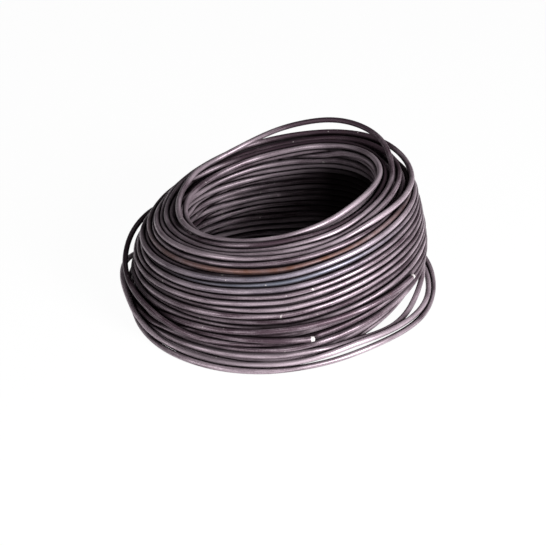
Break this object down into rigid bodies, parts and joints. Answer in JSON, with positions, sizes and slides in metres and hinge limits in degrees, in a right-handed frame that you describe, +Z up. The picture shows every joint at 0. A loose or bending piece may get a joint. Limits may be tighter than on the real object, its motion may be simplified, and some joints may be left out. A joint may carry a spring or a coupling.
{
  "type": "coil of wire rod",
  "caption": "Coil of hot-rolled steel wire rod lying flat on its end, its turns sprung a little loose and fanned up to one side, with the two cut ends showing on the outer face.",
  "frame": {"origin": "on the floor below the middle of the coil", "axes": "+Z up along the bore, +X towards the side where the rim stands highest, +Y away from the view in the picture"},
  "size_m": [0.3168, 0.3088, 0.154],
  "materials": {
    "rod_steel": "hot-rolled mill scale, dark grey with a purple-brown tint, and brown rust on a few turns"
  },
  "bodies": {
    "root": {"coil": "rod_steel"}
  },
  "joints": []
}
